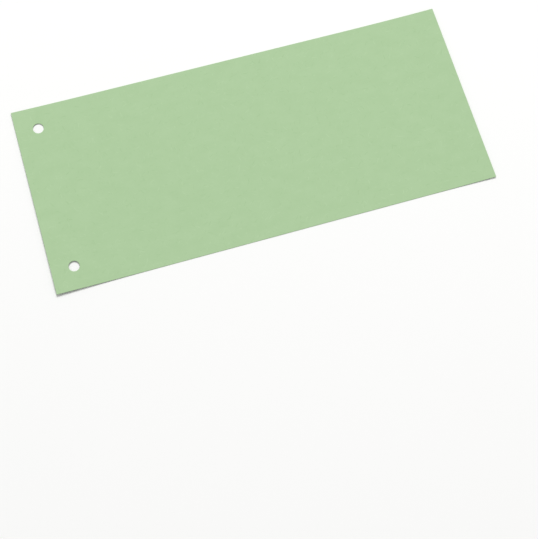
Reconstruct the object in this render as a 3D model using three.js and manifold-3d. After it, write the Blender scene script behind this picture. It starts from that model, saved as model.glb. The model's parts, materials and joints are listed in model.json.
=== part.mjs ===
// Filing sheet of dyed recycled card: a long rectangle with square guillotined corners, punched with
// two round holes at one short end so that it threads on a binder's rings.
//
// It lies as it comes to rest on a table, face up. X runs along the sheet with the punched end at -X,
// Y runs across it and Z is up. The origin is on the table under the middle of the sheet.
//
// The card has the slight set that it keeps from its roll. It bends about one straight direction only,
// as paper does, so the middle lies flat and both ends rise a little off the table. The set isn't quite
// square to the sheet, so two opposite corners rise more than the other two.

import * as THREE from 'three';
import { mergeVertices } from 'three/addons/utils/BufferGeometryUtils.js';
import Module from 'manifold-3d';

// Driving dimensions, in millimetres

const LENGTH = 240;
const WIDTH = 105;
const THICKNESS = 0.25;

// Two filing holes, evenly about the middle of the width
const HOLE_DIAMETER = 5.7;
const HOLE_SPACING = 80;
const HOLE_INSET = 12; // from the short edge to the hole centres

// The set in the card
const RISE_REACH = 68; // how far in from its highest corner each end leaves the table
const RISE_HEIGHT = 1.2; // how high that corner stands
const SET_ANGLE = 9; // degrees between the line that the card bends along and the short edge

// How finely the round forms are cut into flats
const HOLE_SIDES = 64;
const RISE_STEPS = 14;

// Stock beyond the outline, before the sheet is cut from it
const TRIM_ALLOWANCE = 5;

const CARD = new THREE.MeshStandardMaterial({ color: 0xb0cda3, roughness: 0.9, metalness: 0 });

// Height of the card's underside at a distance beyond the line where it leaves the table. A strip with an
// even set, lifting against its own weight, has this shape: it leaves the table level and without a bend.
function riseAt(distance) {
  const share = distance / RISE_REACH;
  return (RISE_HEIGHT * (4 * share ** 3 - share ** 4)) / 3;
}

function slopeAt(distance) {
  const share = distance / RISE_REACH;
  return (RISE_HEIGHT * (12 * share ** 2 - 4 * share ** 3)) / (3 * RISE_REACH);
}

// Where the bends run on a sheet of this size: the distance from the middle, across the bends, of the
// corner that rises most, and of the line where that end leaves the table
const setAngle = THREE.MathUtils.degToRad(SET_ANGLE);
const cornerDistance = (LENGTH / 2) * Math.cos(setAngle) + (WIDTH / 2) * Math.sin(setAngle);
const flatDistance = cornerDistance - RISE_REACH;

// Section of the card across the bends, as a closed outline. The upper face is the lower one moved by the
// thickness, square to the card at every point.
function cardSection() {
  const lower = [];
  const upper = [];
  const reach = RISE_REACH + TRIM_ALLOWANCE;
  for (const side of [-1, 1]) {
    for (let i = 0; i <= RISE_STEPS; i += 1) {
      const step = side < 0 ? RISE_STEPS - i : i;
      const distance = (reach * step) / RISE_STEPS;
      const height = riseAt(distance);
      const tilt = Math.atan(slopeAt(distance));
      const across = side * (flatDistance + distance);
      const inward = side * THICKNESS * Math.sin(tilt);
      lower.push(new THREE.Vector2(across, height));
      upper.push(new THREE.Vector2(across - inward, height + THICKNESS * Math.cos(tilt)));
    }
  }
  return new THREE.Shape([...lower, ...upper.reverse()]);
}

// The bent stock: the section drawn out along the bends, turned to the angle of the set
function bentStock() {
  const run = LENGTH + WIDTH;
  const stock = new THREE.ExtrudeGeometry(cardSection(), { depth: run, bevelEnabled: false });
  stock.translate(0, 0, -run / 2);
  stock.rotateX(Math.PI / 2);
  stock.rotateZ(setAngle);
  return stock;
}

// The cutter: the sheet's outline with its two holes, as seen from above, taller than the bent stock
function outlineCutter() {
  const outline = new THREE.Shape([
    new THREE.Vector2(-LENGTH / 2, -WIDTH / 2),
    new THREE.Vector2(LENGTH / 2, -WIDTH / 2),
    new THREE.Vector2(LENGTH / 2, WIDTH / 2),
    new THREE.Vector2(-LENGTH / 2, WIDTH / 2),
  ]);
  for (const side of [-1, 1]) {
    const hole = new THREE.Path();
    hole.absarc(HOLE_INSET - LENGTH / 2, (side * HOLE_SPACING) / 2, HOLE_DIAMETER / 2, 0, 2 * Math.PI, true);
    outline.holes.push(hole);
  }
  const height = RISE_HEIGHT + THICKNESS + 2 * TRIM_ALLOWANCE;
  const cutter = new THREE.ExtrudeGeometry(outline, {
    depth: height,
    bevelEnabled: false,
    curveSegments: HOLE_SIDES,
  });
  cutter.translate(0, 0, -TRIM_ALLOWANCE);
  return cutter;
}

const wasm = await Module();
wasm.setup();

// A closed three.js geometry as a solid that can be cut
function solidOf(geometry) {
  const bare = geometry.clone();
  bare.deleteAttribute('normal');
  bare.deleteAttribute('uv');
  const merged = mergeVertices(bare, 1e-4);
  const mesh = new wasm.Mesh({
    numProp: 3,
    vertProperties: new Float32Array(merged.attributes.position.array),
    triVerts: new Uint32Array(merged.index.array),
  });
  return new wasm.Manifold(mesh);
}

function geometryOf(solid) {
  const mesh = solid.getMesh();
  const geometry = new THREE.BufferGeometry();
  geometry.setAttribute('position', new THREE.BufferAttribute(mesh.vertProperties, 3));
  geometry.setIndex(new THREE.BufferAttribute(mesh.triVerts, 1));
  geometry.computeVertexNormals();
  return geometry;
}

// The finished sheet: the bent stock, trimmed to the outline and punched
const sheet = new THREE.Mesh(geometryOf(solidOf(bentStock()).intersect(solidOf(outlineCutter()))), CARD);
sheet.name = 'card_sheet';

const part = new THREE.Group();
part.name = 'filing_sheet';
part.add(sheet);

export default part;
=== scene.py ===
import json
import math

import bmesh
import bpy
from mathutils import Matrix, Vector


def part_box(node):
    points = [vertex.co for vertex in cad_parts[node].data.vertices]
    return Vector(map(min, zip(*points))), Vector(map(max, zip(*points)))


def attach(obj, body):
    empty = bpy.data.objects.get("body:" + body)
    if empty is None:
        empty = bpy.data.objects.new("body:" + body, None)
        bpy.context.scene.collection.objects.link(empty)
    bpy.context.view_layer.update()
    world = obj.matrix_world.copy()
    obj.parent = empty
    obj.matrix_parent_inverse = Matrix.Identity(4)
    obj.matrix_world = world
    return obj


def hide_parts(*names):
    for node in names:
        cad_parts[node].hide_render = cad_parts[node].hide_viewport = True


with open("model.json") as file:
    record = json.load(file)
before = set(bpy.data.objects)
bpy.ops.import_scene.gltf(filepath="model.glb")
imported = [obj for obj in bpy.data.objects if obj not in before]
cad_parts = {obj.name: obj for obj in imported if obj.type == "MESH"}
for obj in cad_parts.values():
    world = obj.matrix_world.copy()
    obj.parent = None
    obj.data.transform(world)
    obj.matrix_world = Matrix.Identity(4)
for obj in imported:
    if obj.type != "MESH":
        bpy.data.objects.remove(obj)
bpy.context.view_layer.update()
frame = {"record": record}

# The view of the photograph
# The camera stands in front of the sheet, towards its punched end, and looks down on it steeply. It is
# rolled a little, so the sheet climbs to the right across the upper half of the picture.

MM = 0.001

CAMERA_AZIMUTH = math.radians(-25.1)  # from straight in front, towards the punched end
CAMERA_ELEVATION = math.radians(72.5)
CAMERA_ROLL = math.radians(-17.36)
CAMERA_DISTANCE = 569.3 * MM
CAMERA_LENS = 73.5  # mm, on a picture 36 mm high
LOOK_AT = Vector((-12.2, -68.9, 0)) * MM

backward = Vector((
    math.sin(CAMERA_AZIMUTH) * math.cos(CAMERA_ELEVATION),
    -math.cos(CAMERA_AZIMUTH) * math.cos(CAMERA_ELEVATION),
    math.sin(CAMERA_ELEVATION),
))
level_right = Vector((0, 1, 0)).cross(backward).normalized()
level_up = backward.cross(level_right)
right = level_right * math.cos(CAMERA_ROLL) + level_up * math.sin(CAMERA_ROLL)
up = level_up * math.cos(CAMERA_ROLL) - level_right * math.sin(CAMERA_ROLL)

camera_data = bpy.data.cameras.new("photo_camera")
camera_data.lens = CAMERA_LENS
camera_data.sensor_width = 36
camera_data.clip_start = 10 * MM
camera = bpy.data.objects.new("photo_camera", camera_data)
camera.matrix_world = (
    Matrix.Translation(LOOK_AT + backward * CAMERA_DISTANCE)
    @ Matrix((right, up, backward)).transposed().to_4x4()
)
bpy.context.scene.collection.objects.link(camera)
bpy.context.scene.camera = camera

# The card sheet
# One rectangle of dyed recycled card, cut square by a guillotine and punched with two filing holes. It
# is 0.25 mm thick. The card keeps a slight set from its roll, so both ends rise a little off the table.

THICKNESS = 0.25 * MM
HOLE_RADIUS = 2.85 * MM
HOLE_SIDES = 96
RISE_REACH = 68 * MM  # how far in from its highest corner each end leaves the table
SET_ANGLE = math.radians(9)  # between the line that the card bends along and the short edge

GRID_CELLS = (120, 42)  # cells of 2 mm by 2.5 mm, so each hole's centre is a crossing of the grid
PATCH = Vector((6, 5)) * MM  # half the sides of the patch of the grid that each hole and its rim take
PATCH_SLACK = 0.1 * MM  # how far past the patch's corners its open edges are looked for
RIM_WIDTH = 0.6 * MM  # the ring of faces round each hole

ARRIS = 0.03 * MM  # how far a guillotine rounds the edges of the card
DIE_ROLL = 0.07 * MM  # how far the punch draws the upper edge of a hole down
ROUNDING_STEPS = 3
CUT_CORNER = math.radians(60)  # faces that meet at more than this meet along a cut edge
SMOOTH_CORNER = math.radians(50)  # faces that meet at less than this are shaded as one
CUT_FACE_RISE = 0.6  # a face whose normal points up or down by less than this is part of the cut edge

sheet_low, sheet_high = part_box("card_sheet")
length = sheet_high.x - sheet_low.x
width = sheet_high.y - sheet_low.y
rise_height = sheet_high.z - sheet_low.z - THICKNESS
across_bends = Vector((math.cos(SET_ANGLE), math.sin(SET_ANGLE)))
flat_distance = Vector((length / 2, width / 2)).dot(across_bends) - RISE_REACH

# The holes stand where the record's openings say
hole_centres = [
    (Vector(opening["box_m"][0]) + Vector(opening["box_m"][1])).xy / 2
    for opening in frame["record"]["physics"]["openings"]
]


def rise_at(point):
    """Height of the card's underside over a point: level in the middle, and rising to both ends."""
    share = max(0, (abs(point.xy.dot(across_bends)) - flat_distance) / RISE_REACH)
    return rise_height * (4 * share ** 3 - share ** 4) / 3


def nearest_hole(point):
    """Distance from a point to the centre of the nearer hole, seen from above."""
    return min((point.xy - centre).length for centre in hole_centres)


def open_edges(bm, keep):
    """Edges with a face on one side only, where both ends are at places to keep."""
    return [e for e in bm.edges if e.is_boundary and all(keep(v.co) for v in e.verts)]


def settle_order(bm):
    """Sorts the mesh by place, since solidify and bevel leave an order that changes each run."""
    for parts, place in (
        (bm.verts, lambda v: v.co[:]),
        (bm.edges, lambda e: sorted(v.index for v in e.verts)),
        (bm.faces, lambda f: sorted(v.index for v in f.verts)),
    ):
        for index, part in enumerate(sorted(parts, key=place)):
            part.index = index
        parts.sort()
        parts.index_update()


bm = bmesh.new()
bmesh.ops.create_grid(bm, x_segments=GRID_CELLS[0], y_segments=GRID_CELLS[1], size=0.5)
bmesh.ops.scale(bm, vec=(length, width, 1), verts=bm.verts)

for centre in hole_centres:
    patch = [
        f for f in bm.faces
        if all(abs(a - b) < half for a, b, half in zip(f.calc_center_median(), centre, PATCH))
    ]
    bmesh.ops.delete(bm, geom=patch, context="FACES")
    place = Matrix.Translation(centre.to_3d())
    loops = []
    for radius in (HOLE_RADIUS, HOLE_RADIUS + RIM_WIDTH):
        ring = bmesh.ops.create_circle(bm, segments=HOLE_SIDES, radius=radius, matrix=place)
        corners = set(ring["verts"])
        loops.append([e for e in bm.edges if corners.issuperset(e.verts)])
    bmesh.ops.bridge_loops(bm, edges=loops[0] + loops[1])
    reach = PATCH.length + PATCH_SLACK
    outer = open_edges(bm, lambda co: HOLE_RADIUS + RIM_WIDTH / 2 < (co.xy - centre).length < reach)
    bmesh.ops.bridge_loops(bm, edges=outer)

for v in bm.verts:
    v.co.z = rise_at(v.co)
bmesh.ops.recalc_face_normals(bm, faces=bm.faces)
if sum(f.normal.z for f in bm.faces) < 0:
    bmesh.ops.reverse_faces(bm, faces=bm.faces)
bmesh.ops.solidify(bm, geom=bm.faces[:], thickness=-THICKNESS)
bmesh.ops.recalc_face_normals(bm, faces=bm.faces)

# The guillotine cuts straight down, so nothing stands out past the outline
for v in bm.verts:
    v.co.x = max(sheet_low.x, min(v.co.x, sheet_high.x))
    v.co.y = max(sheet_low.y, min(v.co.y, sheet_high.y))

# The cut edges are softened, and each hole's upper edge is drawn down by the punch
cut_edges = {"arris": [], "roll": []}
for e in bm.edges:
    if len(e.link_faces) == 2 and e.calc_face_angle() > CUT_CORNER:
        middle = (e.verts[0].co + e.verts[1].co) / 2
        upper = middle.z > rise_at(middle) + THICKNESS / 2
        at_hole = nearest_hole(middle) < HOLE_RADIUS + RIM_WIDTH
        cut_edges["roll" if at_hole and upper else "arris"].append(e)
for name, offset in (("roll", DIE_ROLL), ("arris", ARRIS)):
    bmesh.ops.bevel(
        bm, geom=cut_edges[name], affect="EDGES", offset=offset,
        segments=ROUNDING_STEPS, profile=0.5, material=-1,
    )

# The upper face, the underside and the cut edge are three finishes of the same card, in that order. The cut
# edge's finish is darkened with painted shade.
UPPER_FACE, UNDERSIDE, CUT_EDGE = 0, 1, 2
for f in bm.faces:
    f.smooth = True
    if abs(f.normal.z) < CUT_FACE_RISE:
        f.material_index = CUT_EDGE
    else:
        f.material_index = UPPER_FACE if f.normal.z > 0 else UNDERSIDE

# Sorted last, when no list holds an edge: after a sort, a held edge stands for another one
settle_order(bm)
card_mesh = bpy.data.meshes.new("card")
bm.to_mesh(card_mesh)
bm.free()
card_mesh.set_sharp_from_angle(angle=SMOOTH_CORNER)
card = bpy.data.objects.new("card", card_mesh)
bpy.context.scene.collection.objects.link(card)

# The wide faces stay flat up to the narrow bevels beside them
face_normals = card.modifiers.new("face normals", "WEIGHTED_NORMAL")
face_normals.keep_sharp = True

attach(card, "root")
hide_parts("card_sheet")

# The pulp is dyed before the card is made, so the colour goes right through. Under a matt, uncoated
# surface the eye finds soft clouds, where the fibres lie thicker, single fibres that took more or less
# of the dye, and a few flecks left from the paper that was recycled.

DEEP_DYE = "#9bbb8c"
PALE_DYE = "#b3cea5"
# The cut edge's dyes are darker copies of the face's: painted shade, for an edge turned from the light
EDGE_DEEP_DYE_IN_SHADE = "#86a878"
EDGE_PALE_DYE_IN_SHADE = "#9fbf91"

CLOUD_SIZE = 6 * MM
CLOUD_STRETCH = 0.6  # fibres line up with the machine, along the sheet, and draw the clouds out
CLOUD_TONE = 0.13  # tones are shares of the way from the deep dye to the pale one
CLOUD_NOISE = (0.3, 0.7)  # the range of the noise that takes up that tone

# Real fibres are 0.03 mm wide, which is too fine to show. They are drawn ten times as wide, and faint.
FIBRES = (  # spacing, length and width
    (5.2 * MM, 3.0 * MM, 0.30 * MM),
    (3.1 * MM, 1.6 * MM, 0.24 * MM),
)
FIBRE_TONE = 0.7
FIBRE_BOW = 0.6  # how strongly a fibre bends
FIBRE_BODY = 0.7  # share of a fibre's length before its ends fade

FLECK_SPACING = 8 * MM
FLECK_RADIUS = 0.22 * MM
FLECK_CORE = 0.5  # share of a fleck's radius before its rim fades
FLECK_TONE = 0.55
FLECK_SHARE = 0.35  # share of the places that hold a fleck

# The tooth of uncoated card is under 0.1 mm across. It is drawn at 0.45 mm, so that it shows.
TOOTH_SIZE = 0.45 * MM
TOOTH_HEIGHT = 0.012 * MM
COCKLE_SIZE = 16 * MM
COCKLE_HEIGHT = 0.03 * MM

# The forming wire leaves a weave of about 0.3 mm in the underside. It is drawn at 0.9 mm.
WIRE_PITCH = 0.9 * MM
WIRE_HEIGHT = 0.006 * MM
WIRE_TURN = math.radians(38)
WIRE_WAVER = 0.4

# Strokes of the knife stand up the cut edge. They are 0.05 mm apart, and are drawn at 0.3 mm.
STROKE_SPACING = 0.3 * MM
STROKE_HEIGHT = 0.01 * MM
STROKE_STRETCH = 0.1  # draws the strokes out ten times as long, up the edge

CELLULOSE_IOR = 1.53
ROUGHNESS_RANGE = (0.86, 0.96)
FUZZ = 0.04  # sheen of the loose fibre ends


def linear(hex_colour):
    """An sRGB hex colour as the linear one that the shaders take."""
    shares = [int(hex_colour[i:i + 2], 16) / 255 for i in (1, 3, 5)]
    return [c / 12.92 if c <= 0.04045 else ((c + 0.055) / 1.055) ** 2.4 for c in shares] + [1]


def add_node(tree, kind, inputs=None, **settings):
    """Adds a node with its settings. Each input is a value, or another node's output to link from."""
    node = tree.nodes.new(kind)
    for name, value in settings.items():
        setattr(node, name, value)
    for name, value in (inputs or {}).items():
        if isinstance(value, bpy.types.NodeSocket):
            tree.links.new(value, node.inputs[name])
        else:
            node.inputs[name].default_value = value
    return node


def pulp_tone(tree, place):
    """Tone of the pulp, from 0 for the deep dye to 1 for the pale one: its clouds, fibres and flecks."""
    drawn_out = add_node(
        tree, "ShaderNodeMapping", {"Vector": place, "Scale": (CLOUD_STRETCH, 1, 1)},
    ).outputs[0]
    clouds = add_node(tree, "ShaderNodeTexNoise", {
        "Vector": drawn_out, "Scale": 1 / CLOUD_SIZE, "Detail": 3, "Roughness": 0.55,
    }).outputs[0]
    tone = add_node(tree, "ShaderNodeMapRange", {
        "Value": clouds, "From Min": CLOUD_NOISE[0], "From Max": CLOUD_NOISE[1],
        "To Min": 0.5 - CLOUD_TONE / 2, "To Max": 0.5 + CLOUD_TONE / 2,
    }).outputs[0]

    for spacing, fibre_length, fibre_width in FIBRES:
        cells = add_node(
            tree, "ShaderNodeVectorMath", {0: place, "Scale": 1 / spacing}, operation="SCALE",
        ).outputs[0]
        cell = add_node(
            tree, "ShaderNodeTexVoronoi", {"Vector": cells, "Scale": 1}, voronoi_dimensions="2D",
        )
        chance = add_node(tree, "ShaderNodeSeparateColor", {0: cell.outputs["Color"]})
        offset = add_node(
            tree, "ShaderNodeVectorMath", {0: cells, 1: cell.outputs["Position"]}, operation="SUBTRACT",
        ).outputs[0]
        turn = add_node(
            tree, "ShaderNodeMath", {0: chance.outputs[0], 1: 2 * math.pi}, operation="MULTIPLY",
        ).outputs[0]
        turned = add_node(
            tree, "ShaderNodeVectorRotate", {"Vector": offset, "Angle": turn}, rotation_type="Z_AXIS",
        ).outputs[0]
        along = add_node(tree, "ShaderNodeSeparateXYZ", {0: turned})
        squared = add_node(
            tree, "ShaderNodeMath", {0: along.outputs[0], 1: along.outputs[0]}, operation="MULTIPLY",
        ).outputs[0]
        bowed = add_node(
            tree, "ShaderNodeMath", {0: squared, 1: FIBRE_BOW, 2: along.outputs[1]},
            operation="MULTIPLY_ADD",
        ).outputs[0]
        from_line = add_node(tree, "ShaderNodeMath", {0: bowed}, operation="ABSOLUTE").outputs[0]
        from_middle = add_node(
            tree, "ShaderNodeMath", {0: along.outputs[0]}, operation="ABSOLUTE",
        ).outputs[0]
        half_length = fibre_length / spacing / 2
        in_width = add_node(tree, "ShaderNodeMapRange", {
            "Value": from_line, "From Min": 0, "From Max": fibre_width / spacing / 2,
            "To Min": 1, "To Max": 0,
        }).outputs[0]
        in_length = add_node(tree, "ShaderNodeMapRange", {
            "Value": from_middle, "From Min": FIBRE_BODY * half_length, "From Max": half_length,
            "To Min": 1, "To Max": 0,
        }).outputs[0]
        on_fibre = add_node(
            tree, "ShaderNodeMath", {0: in_width, 1: in_length}, operation="MULTIPLY",
        ).outputs[0]
        dye_taken = add_node(tree, "ShaderNodeMapRange", {
            "Value": chance.outputs[1], "To Min": -FIBRE_TONE, "To Max": FIBRE_TONE,
        }).outputs[0]
        tone = add_node(
            tree, "ShaderNodeMath", {0: on_fibre, 1: dye_taken, 2: tone}, operation="MULTIPLY_ADD",
        ).outputs[0]

    fleck = add_node(
        tree, "ShaderNodeTexVoronoi", {"Vector": place, "Scale": 1 / FLECK_SPACING}, voronoi_dimensions="2D",
    )
    fleck_chance = add_node(tree, "ShaderNodeSeparateColor", {0: fleck.outputs["Color"]}).outputs[0]
    held = add_node(
        tree, "ShaderNodeMath", {0: fleck_chance, 1: FLECK_SHARE}, operation="LESS_THAN",
    ).outputs[0]
    fleck_reach = FLECK_RADIUS / FLECK_SPACING
    on_fleck = add_node(tree, "ShaderNodeMapRange", {
        "Value": fleck.outputs["Distance"],
        "From Min": FLECK_CORE * fleck_reach, "From Max": fleck_reach,
        "To Min": -FLECK_TONE, "To Max": 0,
    }).outputs[0]
    return add_node(
        tree, "ShaderNodeMath", {0: held, 1: on_fleck, 2: tone}, operation="MULTIPLY_ADD",
    ).outputs[0]


def card_finish(name, deep_colour, pale_colour):
    """A material of the card: its pulp and its tooth. Returns its tree, its coordinates and its bump."""
    material = bpy.data.materials.new(name)
    material.use_nodes = True
    tree = material.node_tree
    shader = tree.nodes["Principled BSDF"]
    shader.inputs["IOR"].default_value = CELLULOSE_IOR
    shader.inputs["Sheen Weight"].default_value = FUZZ
    place = add_node(tree, "ShaderNodeTexCoord").outputs["Object"]
    colour = add_node(tree, "ShaderNodeMix", {
        0: pulp_tone(tree, place), 6: linear(deep_colour), 7: linear(pale_colour),
    }, data_type="RGBA").outputs[2]
    tree.links.new(colour, shader.inputs["Base Color"])

    tooth = add_node(tree, "ShaderNodeTexNoise", {
        "Vector": place, "Scale": 1 / TOOTH_SIZE, "Detail": 2, "Roughness": 0.6,
    }).outputs[0]
    roughness = add_node(tree, "ShaderNodeMapRange", {
        "Value": tooth, "To Min": ROUGHNESS_RANGE[0], "To Max": ROUGHNESS_RANGE[1],
    }).outputs[0]
    tree.links.new(roughness, shader.inputs["Roughness"])
    cockle = add_node(tree, "ShaderNodeTexNoise", {
        "Vector": place, "Scale": 1 / COCKLE_SIZE, "Detail": 1,
    }).outputs[0]
    swell = add_node(tree, "ShaderNodeBump", {"Height": cockle, "Strength": 1, "Distance": COCKLE_HEIGHT})
    bump = add_node(tree, "ShaderNodeBump", {
        "Height": tooth, "Strength": 1, "Distance": TOOTH_HEIGHT, "Normal": swell.outputs[0],
    }).outputs[0]
    tree.links.new(bump, shader.inputs["Normal"])
    card_mesh.materials.append(material)
    return tree, place, bump


# The upper face is only pressed smooth between the rolls: even and matt, with a fine tooth
card_finish("pressed recycled card", DEEP_DYE, PALE_DYE)

# The underside was formed on a woven wire, whose mark it keeps
tree, place, bump = card_finish("wire side recycled card", DEEP_DYE, PALE_DYE)
for turn in (WIRE_TURN, WIRE_TURN + math.pi / 2):
    turned = add_node(tree, "ShaderNodeMapping", {"Vector": place, "Rotation": (0, 0, turn)}).outputs[0]
    wires = add_node(tree, "ShaderNodeTexWave", {
        "Vector": turned, "Scale": math.pi / (10 * WIRE_PITCH), "Distortion": WIRE_WAVER,
    }).outputs["Fac"]
    bump = add_node(tree, "ShaderNodeBump", {
        "Height": wires, "Strength": 1, "Distance": WIRE_HEIGHT, "Normal": bump,
    }).outputs[0]
tree.links.new(bump, tree.nodes["Principled BSDF"].inputs["Normal"])

# The cut edge shows the ends of the fibres and the strokes of the knife. Its darker dyes are painted shade,
# for an edge turned from the light.
tree, place, bump = card_finish("guillotined recycled card in painted shade", EDGE_DEEP_DYE_IN_SHADE, EDGE_PALE_DYE_IN_SHADE)
upright = add_node(
    tree, "ShaderNodeMapping", {"Vector": place, "Scale": (1, 1, STROKE_STRETCH)},
).outputs[0]
strokes = add_node(tree, "ShaderNodeTexNoise", {
    "Vector": upright, "Scale": 1 / STROKE_SPACING, "Detail": 1,
}).outputs[0]
bump = add_node(tree, "ShaderNodeBump", {
    "Height": strokes, "Strength": 1, "Distance": STROKE_HEIGHT, "Normal": bump,
}).outputs[0]
tree.links.new(bump, tree.nodes["Principled BSDF"].inputs["Normal"])

# The table
# A plain matt white studio top, pale enough to read as the photograph's white ground. It runs on so
# far past the softbox's light that it fades into the room, with no edge in a low view.

TABLE_WHITE = "#f5f5f4"
TABLE_SIZE = 25  # metres from the middle to each side
TABLE_ROUGHNESS = 0.85

table_mesh = bpy.data.meshes.new("table")
bm = bmesh.new()
bmesh.ops.create_grid(bm, x_segments=1, y_segments=1, size=TABLE_SIZE)
bm.to_mesh(table_mesh)
bm.free()
table = bpy.data.objects.new("table", table_mesh)
bpy.context.scene.collection.objects.link(table)

white_top = bpy.data.materials.new("matt white laminate")
white_top.use_nodes = True
white_shader = white_top.node_tree.nodes["Principled BSDF"]
white_shader.inputs["Base Color"].default_value = linear(TABLE_WHITE)
white_shader.inputs["Roughness"].default_value = TABLE_ROUGHNESS
table_mesh.materials.append(white_top)

# The light
# One large softbox behind the sheet and to its right, high up and far off, so the light is even over
# the table and the shadows fall towards the front left. A white room fills them in.

SOFTBOX_PLACE = Vector((0.9, 2.5, 3.3))
SOFTBOX_SIZE = 1.8
SOFTBOX_POWER = 146
ROOM_STRENGTH = 0.48

softbox_data = bpy.data.lights.new("softbox", "AREA")
softbox_data.size = SOFTBOX_SIZE
softbox_data.energy = SOFTBOX_POWER
softbox = bpy.data.objects.new("softbox", softbox_data)
facing = SOFTBOX_PLACE.to_track_quat("Z", "Y").to_matrix().to_4x4()
softbox.matrix_world = Matrix.Translation(SOFTBOX_PLACE) @ facing
bpy.context.scene.collection.objects.link(softbox)

room = bpy.data.worlds.new("white room")
room.use_nodes = True
room.node_tree.nodes["Background"].inputs["Color"].default_value = (1, 1, 1, 1)
room.node_tree.nodes["Background"].inputs["Strength"].default_value = ROOM_STRENGTH
bpy.context.scene.world = room
bpy.context.scene.view_settings.view_transform = "Standard"
